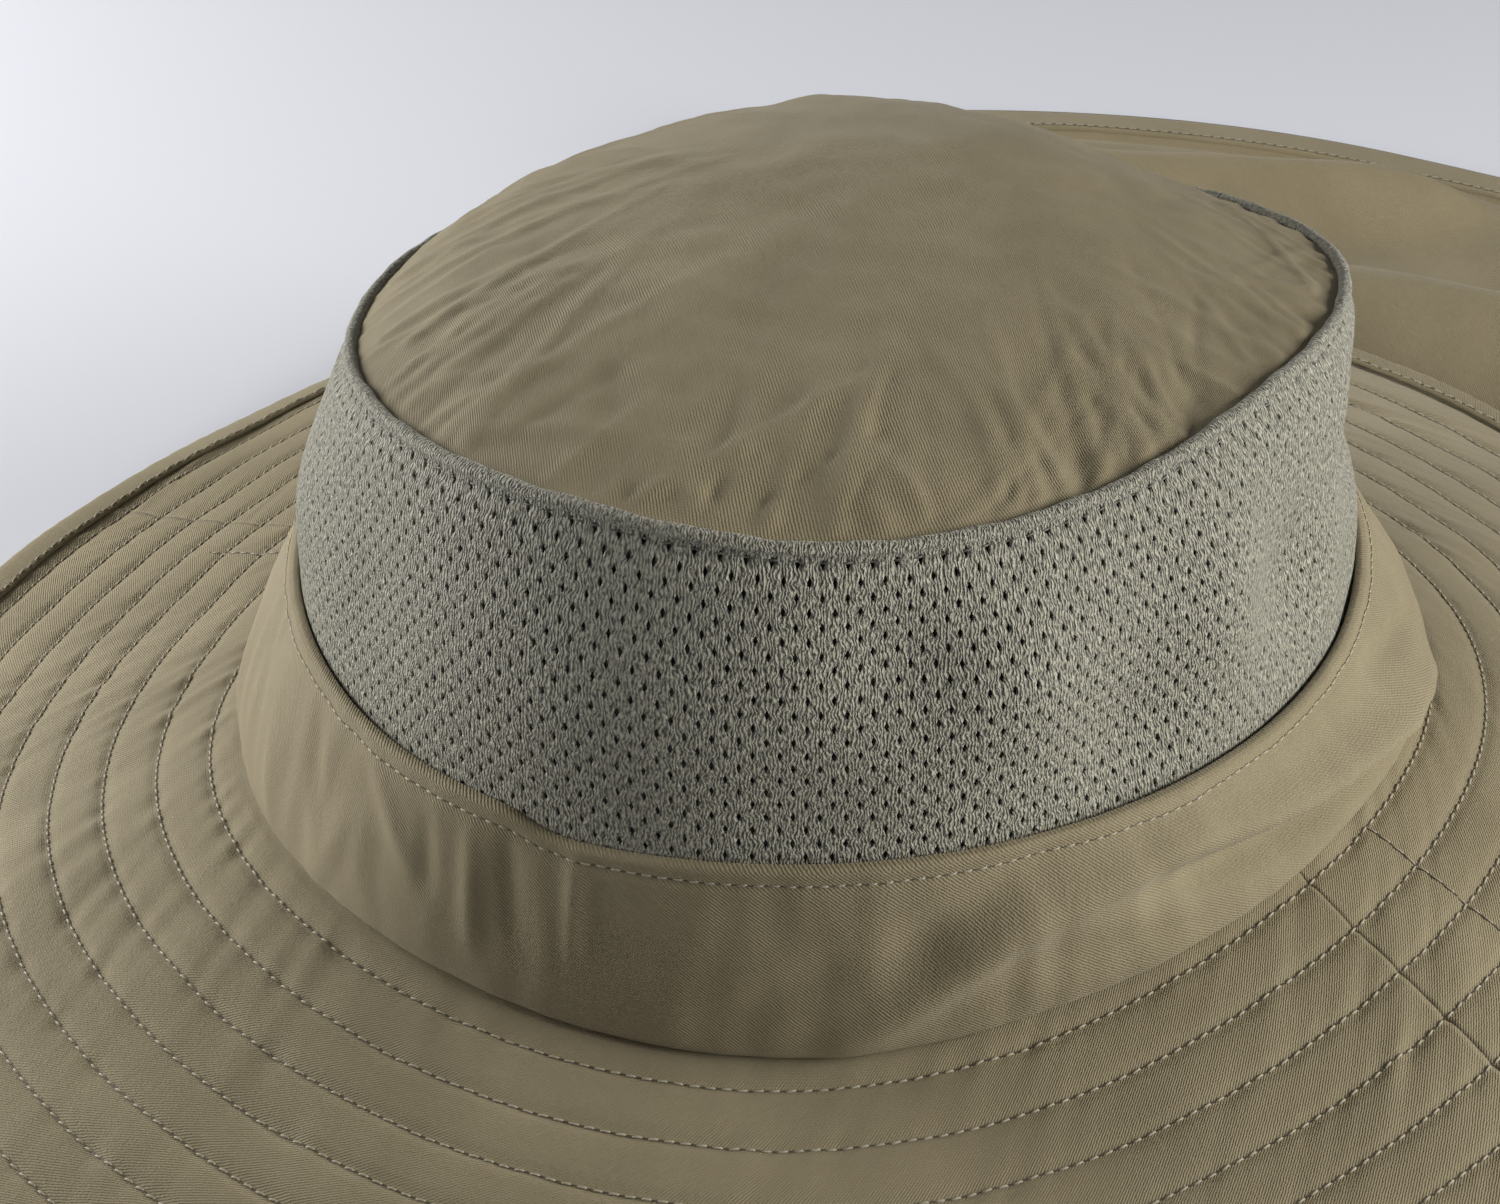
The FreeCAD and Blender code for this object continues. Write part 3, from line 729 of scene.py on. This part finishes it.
# Each dent: degrees round the hat, share of the height, depth in mm, width in degrees, spread in shares.
MESH_DENTS = [(118, 0.58, -9.5, 16, 0.20), (104, 0.62, 2.2, 6, 0.30), (104, 0.25, -2.0, 6, 0.2),
              (86, 0.45, -4.2, 8, 0.22), (72, 0.62, 3.0, 7, 0.25), (58, 0.30, -3.6, 8, 0.20),
              (45, 0.60, 3.0, 8, 0.25), (33, 0.74, -2.2, 6, 0.15), (24, 0.22, -1.5, 9, 0.15),
              (5, 0.5, 1.6, 12, 0.35), (-24, 0.45, -1.8, 9, 0.35), (-50, 0.5, 1.8, 10, 0.35),
              (-72, 0.6, -2.4, 9, 0.3), (-110, 0.5, 2.0, 18, 0.4), (-150, 0.5, -3.0, 20, 0.4),
              (165, 0.5, -2.5, 18, 0.4)]


def mesh_dents(angle, rise):
    """Soft hollows and swellings of the loose mesh."""
    total = 0.0
    for middle, level, depth, width, spread in MESH_DENTS:
        total = total + depth * bump_at(turn_from(angle, middle), 0, width) * bump_at(rise, level, spread)
    return MM * total * np.sin(math.pi * np.clip(rise, 0, 1)) ** 0.5


def mesh_surface(angle, v):
    """Points of the mesh, from behind the band's edge up to the end of its folded lip."""
    rise = np.clip(v / LIP_START, 0, 1)
    low_radius, low_height = band_seam(angle)
    high_radius, high_height = top_seam(angle)
    belly = 2.0 * MM * np.sin(math.pi * rise)
    radius = low_radius - 1.5 * MM + (high_radius - low_radius + 1.5 * MM) * rise + belly
    radius = radius + mesh_dents(angle, rise)
    height = low_height - 5 * MM + (high_height - low_height + 5 * MM) * rise
    groove = 1.1 * MM * bump_at(rise, 0.985, 0.035)
    roll = np.clip((v - LIP_START) / (1 - LIP_START), 0, 1)
    turned = np.radians(-55 + 245 * roll)
    lip = np.where(roll > 0, 1.0, 0.0)
    thick = LIP_RADIUS * (1 + 0.05 * np.sin(angle * 29) + 0.04 * np.sin(angle * 61 + 1))
    radius = radius - groove + lip * thick * (np.cos(turned) - math.cos(math.radians(-55)))
    height = height + lip * thick * (np.sin(turned) - math.sin(math.radians(-55)))
    return stand(radius, angle, height)


# %% Holes of the mesh
mesh_band = flat_cloth("mesh_side_band", MESH_COLUMNS, MESH_ROWS)


def open_holes(piece):
    """Insets a checkerboard of faces and removes their middles."""
    cells = piece.data.polygons
    middles = np.empty(len(cells) * 3)
    cells.foreach_get("center", middles)
    middles = middles.reshape(-1, 3)
    column = np.floor(middles[:, 0] * MESH_COLUMNS).astype(int)
    row = np.floor(middles[:, 1] * MESH_ROWS).astype(int)
    chosen = ((column + row) % 2 == 0) & (middles[:, 1] < LIP_START)
    bpy.ops.object.mode_set(mode="EDIT")
    bpy.ops.mesh.select_mode(type="FACE")
    bpy.ops.mesh.select_all(action="DESELECT")
    bpy.ops.object.mode_set(mode="OBJECT")
    piece.data.polygons.foreach_set("select", chosen)
    bpy.ops.object.mode_set(mode="EDIT")
    bpy.ops.mesh.inset(thickness=0.0001, use_individual=True)
    bpy.ops.object.mode_set(mode="OBJECT")
    shape_holes(piece)
    bpy.ops.object.mode_set(mode="EDIT")
    bpy.ops.mesh.delete(type="FACE")
    bpy.ops.mesh.select_mode(type="VERT")
    bpy.ops.object.mode_set(mode="OBJECT")
    print("holes in the mesh:", int(chosen.sum()))


def shape_holes(piece):
    """Turns each inset square into an upright diamond."""
    points = points_of(piece)
    cell_width, cell_height = 1 / MESH_COLUMNS, 1 / MESH_ROWS
    for face in piece.data.polygons:
        if face.select:
            middle = points[list(face.vertices)].mean(0)
            for corner in face.vertices:
                away = points[corner] - middle
                turned = math.atan2(np.sign(away[1]), np.sign(away[0])) + math.pi / 4
                points[corner] = middle + np.array((0.21 * cell_width * math.cos(turned),
                                                    0.39 * cell_height * math.sin(turned), 0))
    set_points(piece, points)


open_holes(mesh_band)
lay(mesh_band, lambda u, v: mesh_surface(TURN * u, v), 0.59,
    lambda v: np.interp(v, (0, LIP_START, 1), (0, 0.050, 0.0555)))
close_tube(mesh_band)
thicken(mesh_band, 0.55 * MM)
sew_on(mesh_band, knit, "root", "knit_mesh", "mesh_side_band")

# %% [markdown]
# ## The top panel
# A square grid is drawn out into a disc, which has no pole, and domed. The cloth is eased into its seam, so
# folds run in from the edge in many directions and die away. Each fold is a short line with its own
# length, lean and height, drawn in order from one seeded generator.

# %% Top panel
APEX = np.array((0.010, 0.032, 0.1255))
FOLD_COUNT = 230


def fold_lines(count, seed):
    """Folds of the top panel: start and end on a unit disc, width and height."""
    draw = np.random.default_rng(seed)
    lines = []
    for _ in range(count):
        at = draw.uniform(0, TURN)
        lean = draw.normal(0, 0.45)
        size = draw.uniform(0.25, 1.0)
        start = np.array((math.sin(at), -math.cos(at))) * draw.uniform(0.90, 1.02)
        run = -np.array((math.sin(at + lean), -math.cos(at + lean))) * 0.62 * size
        lift = draw.choice((-0.5, 1, 1)) * draw.uniform(0.3, 1) * size ** 0.5
        lines.append((start, run, 0.009 + 0.011 * size, lift))
    return lines


def top_surface(u, v):
    """Points of the domed panel: the square is drawn out into a disc first."""
    x, y = 2 * u - 1, 2 * v - 1
    disc = np.stack([x * np.sqrt(1 - y * y / 2), y * np.sqrt(1 - x * x / 2)], -1)
    share = np.clip(np.hypot(disc[:, 0], disc[:, 1]), 0, 1)
    angle = np.arctan2(disc[:, 0], -disc[:, 1])
    radius, height = top_seam(angle)
    edge = stand(radius - 1.4 * MM, angle, height + 0.2 * MM)
    points = APEX * (1 - share[:, None]) + edge * share[:, None]
    flat_side = np.clip(np.cos(angle - math.radians(132)), 0, 1) ** 1.2
    hard = 0.22 * (1 - flat_side)
    swell = (1 - hard) * share ** (2.1 - 0.75 * flat_side) + hard * share ** 8
    points[:, 2] = APEX[2] + (edge[:, 2] - APEX[2]) * swell
    halfway = 4 * share * (1 - share) * MM
    points[:, 2] += 1.6 * halfway * np.clip(np.cos(angle + math.radians(75)), 0, 1)
    relief = np.zeros(len(u))
    for start, run, width, lift in fold_lines(FOLD_COUNT, 7):
        to_point = disc - start
        along = np.clip(to_point @ run / (run @ run), 0, 1)
        off = np.linalg.norm(to_point - along[:, None] * run, axis=1)
        relief += lift * np.exp(-(off / width) ** 2) * (1 - along) ** 0.7
    fine = slow_ripple(points * (1, 1, 0), 0.007, 0.40) + slow_ripple(points * (1, 1, 0), 0.016, 0.6)
    fine = fine + slow_ripple(points * (1, 1, 0), 0.04, 1.3)
    points[:, 2] += MM * np.tanh(relief) * np.clip((1 - share) / 0.04, 0, 1)
    points[:, 2] += MM * fine * np.clip((1 - share) / 0.1, 0, 1)
    return points


top = flat_cloth("crown_top_panel", 200, 200)
lay(top, top_surface, 0.17, 0.18)
thicken(top, 0.6 * MM)
sew_on(top, woven, "root", "woven_cloth", "crown_top_panel")

# %% [markdown]
# ## The sweatband
# Inside the band sits a plain tape that touches the wearer's brow. It follows the band's own surface a few
# millimetres further in, so the two never cross.

# %% Sweatband
sweatband = flat_cloth("sweatband", 240, 12)
lay(sweatband, lambda u, v: band_surface(TURN * u, 0.02 + 0.86 * v, below=3.4 * MM), 0.58, 0.029)
close_tube(sweatband)
thicken(sweatband, 0.8 * MM)
sew_on(sweatband, lining_cloth, "root", "sweatband_cloth", "sweatband")

# %% [markdown]
# ## Stitches
# One stitch is modelled: a short round bar whose ends dip into the cloth. A curve with a dashed
# pattern would look flat, so the bar is copied along each line of sewing, each copy a little different in
# length and lean, with a small dark patch of painted shadow for its needle hole beside it. A whole row of
# copies is one piece.

# %% One stitch
def model_stitch():
    """A stitch one unit long, lying along x on the plane z = 0."""
    bpy.ops.object.select_all(action="DESELECT")
    bpy.ops.mesh.primitive_cylinder_add(vertices=6, radius=1, depth=1, rotation=(0, math.pi / 2, 0))
    stitch = bpy.context.object
    bpy.ops.object.transform_apply(location=True, rotation=True, scale=True)
    bpy.ops.object.mode_set(mode="EDIT")
    bpy.ops.mesh.select_all(action="SELECT")
    bpy.ops.mesh.bisect(plane_co=(-0.28, 0, 0), plane_no=(1, 0, 0))
    bpy.ops.mesh.select_all(action="SELECT")
    bpy.ops.mesh.bisect(plane_co=(0.28, 0, 0), plane_no=(1, 0, 0))
    bpy.ops.object.mode_set(mode="OBJECT")
    points = points_of(stitch)
    ends = np.abs(points[:, 0]) > 0.4
    points[ends, 1:] *= 0.55
    points[ends, 2] -= 0.9
    set_points(stitch, points)
    return stitch


stitch = model_stitch()
STITCH_LIFT = 0.1 * MM
STITCH_POINTS = points_of(stitch)
STITCH_FACES = [list(face.vertices) for face in stitch.data.polygons]
bpy.data.objects.remove(stitch)
# Each stitch also gets a flat six-sided dark patch of painted shadow for its needle hole.
HOLE_SHADOW_FACE = [len(STITCH_POINTS) + k for k in range(6)]
HOLE_SHADOW_POINTS = np.array([(0.5 + 0.19 * math.cos(TURN * k / 6), math.sin(TURN * k / 6), 0) for k in range(6)])
print("a stitch has %d faces" % len(STITCH_FACES))


def sew(name, path, up, pitch, width, skew=0.12, filled=0.66, colour=thread):
    """Stitches along a path of points, each lying on the cloth whose upward direction is given."""
    runs = np.linalg.norm(np.diff(path, axis=0), axis=1)
    travelled = np.concatenate([[0], np.cumsum(runs)])
    count = int(travelled[-1] / pitch)
    draw = np.random.default_rng(len(name))
    marks = (np.arange(count) + 0.5) * pitch
    middle = np.stack([np.interp(marks, travelled, path[:, k]) for k in range(3)], -1)
    ahead = np.stack([np.interp(marks + pitch / 2, travelled, path[:, k]) for k in range(3)], -1)
    normal = np.stack([np.interp(marks, travelled, up[:, k]) for k in range(3)], -1)
    run = ahead - middle
    run /= np.maximum(np.linalg.norm(run, axis=1, keepdims=True), 1e-9)
    normal /= np.linalg.norm(normal, axis=1, keepdims=True)
    side = np.cross(normal, run)
    lean = skew + draw.normal(0, 0.03, count)
    run_leaning = run + side * lean[:, None]
    side_leaning = side - run * lean[:, None]
    middle = middle + normal * STITCH_LIFT
    stitch_length = pitch * filled * draw.uniform(0.9, 1.05, count)
    bar = (middle[:, None] + run_leaning[:, None] * (STITCH_POINTS[:, 0] * stitch_length[:, None])[..., None]
           + side_leaning[:, None] * (STITCH_POINTS[:, 1] * width / 2)[None, :, None]
           + normal[:, None] * (STITCH_POINTS[:, 2] * width * 0.42 + width * 0.12)[None, :, None])
    # The dark patch of painted shadow for the needle hole, just above the cloth.
    hole = (middle[:, None] + run[:, None] * (HOLE_SHADOW_POINTS[:, 0] * pitch)[None, :, None]
            + side[:, None] * (HOLE_SHADOW_POINTS[:, 1] * width * 0.42)[None, :, None]
            + normal[:, None] * (width * 0.08))
    points = np.concatenate([bar, hole], axis=1)
    size = points.shape[1]
    faces = [[k * size + corner for corner in face]
             for k in range(count) for face in STITCH_FACES + [HOLE_SHADOW_FACE]]
    mesh = bpy.data.meshes.new(name + "_row")
    mesh.from_pydata(points.reshape(-1, 3).tolist(), [], faces)
    piece = bpy.data.objects.new(name + "_row", mesh)
    bpy.context.collection.objects.link(piece)
    per_stitch = len(STITCH_FACES) + 1
    sew_on(piece, colour, "root", "thread", name)
    # The needle hole patches get the painted shadow finish.
    mesh.materials.append(needle_hole_shadow)
    mesh.polygons.foreach_set("material_index", np.tile([0] * len(STITCH_FACES) + [1], count))
    mesh.polygons.foreach_set("use_smooth", np.ones(count * per_stitch, bool))
    return piece


# %% [markdown]
# ## Lines of sewing
# The quilting is one spiral on top, and its bobbin thread makes the same spiral underneath. The band, the
# lip, the binding and the sweatband have a ring each. A short radial line at each side holds the ends of
# the flap under the brim.

# %% Dropping a path onto cloth
def drop_onto(path, way, *names):
    """Moves each point of a path along one direction until it lies on the named pieces."""
    way = Vector(way)
    trees = [BVHTree.FromObject(pieces_made[name], bpy.context.evaluated_depsgraph_get()) for name in names]
    landed = path.copy()
    for index, point in enumerate(path):
        start = Vector(point) - way * 3 * MM
        hits = [tree.ray_cast(start, way, 6 * MM) for tree in trees]
        near = [hit for hit in hits if hit[0] is not None]
        if near:
            landed[index] = min(near, key=lambda hit: hit[3])[0]
    return landed


# %% Quilting
spiral_turn = np.linspace(0, TURN * ROW_COUNT, 5200)
spiral_angle = SPIRAL_START - spiral_turn
spiral_out = FIRST_ROW + ROW_PITCH * spiral_turn / TURN
upward = np.tile((0.0, 0.0, 1.0), (len(spiral_turn), 1))
spiral_top = drop_onto(brim_surface(spiral_angle, spiral_out), (0, 0, -1), "brim_top_front", "brim_top_rear")
sew("quilting_thread_top", spiral_top, upward + outward(spiral_angle) * 0.25, STITCH_PITCH, 0.44 * MM)
spiral_under = drop_onto(brim_surface(spiral_angle, spiral_out, 2.4 * MM), (0, 0, 1),
                         "brim_under_front", "brim_under_rear")
sew("quilting_thread_under", spiral_under, -upward, STITCH_PITCH, 0.44 * MM)

# %% Rings of sewing
ring_angle = np.linspace(0, TURN, 1400)
ring_out = stand(np.ones(1400), ring_angle, 0)
sew("band_topstitch", band_surface(ring_angle, 0.915 + 0 * ring_angle), ring_out, 2.4 * MM, 0.40 * MM, 0.05)
sew("lip_topstitch", mesh_surface(ring_angle, LIP_START * 0.985 + 0 * ring_angle), ring_out, 2.6 * MM,
    0.42 * MM, 0.1, 0.7, colour=grey_thread)
sew("sweatband_stitch", band_surface(ring_angle, 0.09 + 0 * ring_angle, 4.2 * MM), -ring_out, 2.6 * MM,
    0.5 * MM)
binding_ring = binding_place(-ring_angle / TURN, 0.155 + 0 * ring_angle)
sew("binding_stitch", binding_ring, np.tile((0.0, 0.0, 1.0), (1400, 1)), 2.6 * MM, 0.45 * MM)

# %% Side stitches
side_out = np.linspace(2 * MM, 40 * MM, 60)
for name, degrees in (("side_stitch_left", 86), ("side_stitch_right", -94)):
    side_angle = np.full(60, math.radians(degrees))
    side_path = drop_onto(brim_surface(side_angle, side_out), (0, 0, -1), "brim_top_front", "brim_top_rear")
    sew(name, side_path, np.tile((0.0, 0.0, 1.0), (60, 1)), 2.6 * MM, 0.34 * MM, filled=0.8)

# %% [markdown]
# ## The neck flap
# The flap is one sheet. It is sewn under the rear half of the brim, spreads out flat under it, and comes out
# behind the rim in big soft folds down to a bound hem. Dropped by simulation it would find folds of its own,
# so its folds are listed as long soft ridges. It crosses the fold line of the joint, so it is given
# no body.

# %% Surface of the flap
FLAP_HALF_HEM = 150 * MM
FLAP_REACH = 301 * MM
SEWN_SPREAD = math.radians(82)


def flap_plan(across, along):
    """Plan of the flap: across runs from -1 to 1, and along from 0 at the crown to 1 at the hem."""
    angle = math.pi - across * SEWN_SPREAD
    radius, _ = base_seam(angle)
    foot = stand(radius, angle, 0)[:, :2] + outward(angle)[:, :2] * 2 * MM
    swept = np.where(across < 0.05, 56 * (across - 0.05) ** 2, 12 * np.abs(across - 0.05) ** 1.6)
    hem = np.stack([across * FLAP_HALF_HEM, FLAP_REACH - swept * MM], -1)
    return foot * (1 - along[:, None]) + hem * along[:, None]


def brim_underside(plan):
    """Height of the free space under the brim at a point, and high up outside the rim."""
    angle = np.arctan2(plan[:, 0], -plan[:, 1])
    out = np.hypot(plan[:, 0], plan[:, 1]) - base_seam(angle)[0]
    level = brim_level(angle, np.clip(out, 0, BRIM_WIDTH)) - 6.0 * MM
    return level + np.clip(out - BRIM_WIDTH, 0, 1) * 1.2, out


# Each fold: start and end of its line on the table, width and height, all in mm.
FLAP_FOLDS = [((-100, 232), (40, 277), 11, 14), ((2, 210), (140, 218), 19, 19),
              ((-72, 202), (0, 236), 13, 11), ((-130, 186), (-92, 262), 13, 10),
              ((108, 182), (130, 262), 14, 10), ((52, 262), (128, 276), 9, 8)]


def flap_surface(across, along):
    """Points of the flap's upper face."""
    plan = flap_plan(across, along)
    ceiling, out = brim_underside(plan)
    beyond = np.clip((out - BRIM_WIDTH * 0.8) / (25 * MM), 0, 1)
    from_hem = (1 - along) * 190 * MM
    folds = sum(height * fold_between(plan / MM, start, end, width, 5)
                for start, end, width, height in FLAP_FOLDS)
    tucked = 1.7 * bump_at(from_hem, 10.5 * MM, 1.8 * MM)
    lying = (3.2 - tucked + folds * beyond * np.clip((from_hem - 11 * MM) / (14 * MM), 0, 1)) * MM
    lying = lying + 6 * MM * (1 - beyond)
    low = np.minimum(lying, np.maximum(ceiling, 1.6 * MM))
    near_crown = np.clip(1 - out / (45 * MM), 0, 1)
    height = low * (1 - near_crown) + (ceiling - 0.5 * MM) * near_crown
    height = np.minimum(height, np.maximum(ceiling, 1.6 * MM))
    points = np.concatenate([plan, height[:, None]], 1)
    points[:, 2] += slow_ripple(points * (1, 1, 0), 0.03, 1.6 * MM) * beyond * np.clip(from_hem / 0.02, 0, 1)
    points[:, 2] = np.maximum(points[:, 2], 1.1 * MM)
    return points


# %% Flap, hem and sewn edge
def flap_sheet(name, across_from, across_to, along_from, along_to, columns, rows, lift=0.0):
    """Part of the flap's sheet, between two shares of its width and of its length."""
    piece = flat_cloth(name, columns, rows)

    def place(u, v):
        points = flap_surface(across_from + (across_to - across_from) * u,
                              along_from + (along_to - along_from) * v)
        points[:, 2] += lift
        return points

    width = 0.27 * abs(across_to - across_from) / 2 + 0.001
    lay(piece, place, width, 0.2 * abs(along_to - along_from) + 0.001)
    return piece


flap = flap_sheet("neck_flap", -0.98, 0.98, 0.0, 0.985, 260, 190)
thicken(flap, CLOTH)
sew_on(flap, woven, None, "woven_cloth", "neck_flap", "flap_sewn_edge")

hem_strips = []
for across_from, across_to, along_from, along_to, columns, rows in (
        (-1.0, -0.935, 0.0, 1.0, 8, 190), (0.935, 1.0, 0.0, 1.0, 8, 190), (-1.0, 1.0, 0.955, 1.0, 260, 8)):
    strip = flap_sheet("hem_strip", across_from, across_to, along_from, along_to, columns, rows, 0.7 * MM)
    thicken(strip, 1.7 * MM)
    hem_strips.append(strip)
bpy.ops.object.select_all(action="DESELECT")
for strip in hem_strips:
    strip.select_set(True)
bpy.context.view_layer.objects.active = hem_strips[0]
bpy.ops.object.join()
flap_binding = bpy.context.object
flap_binding.name = "flap_edge_binding_cloth"
sew_on(flap_binding, woven, None, "woven_cloth", "flap_edge_binding")

hem_share = np.linspace(-0.93, 0.93, 700)
hem_path = flap_surface(hem_share, 0 * hem_share + 0.962)
hem_path[:, 2] += 0.8 * MM
hem_up = np.tile((0.0, 0.0, 1.0), (len(hem_share), 1))
hem_stitch = sew("flap_hem_stitch", hem_path, hem_up, 2.6 * MM, 0.45 * MM)
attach(hem_stitch, "flap")

for piece in (flap, flap_binding):
    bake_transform(piece)

# %% [markdown]
# ## Finish
# The count of pieces made is printed.

# %% Finish
print("pieces made:", len(pieces_made))
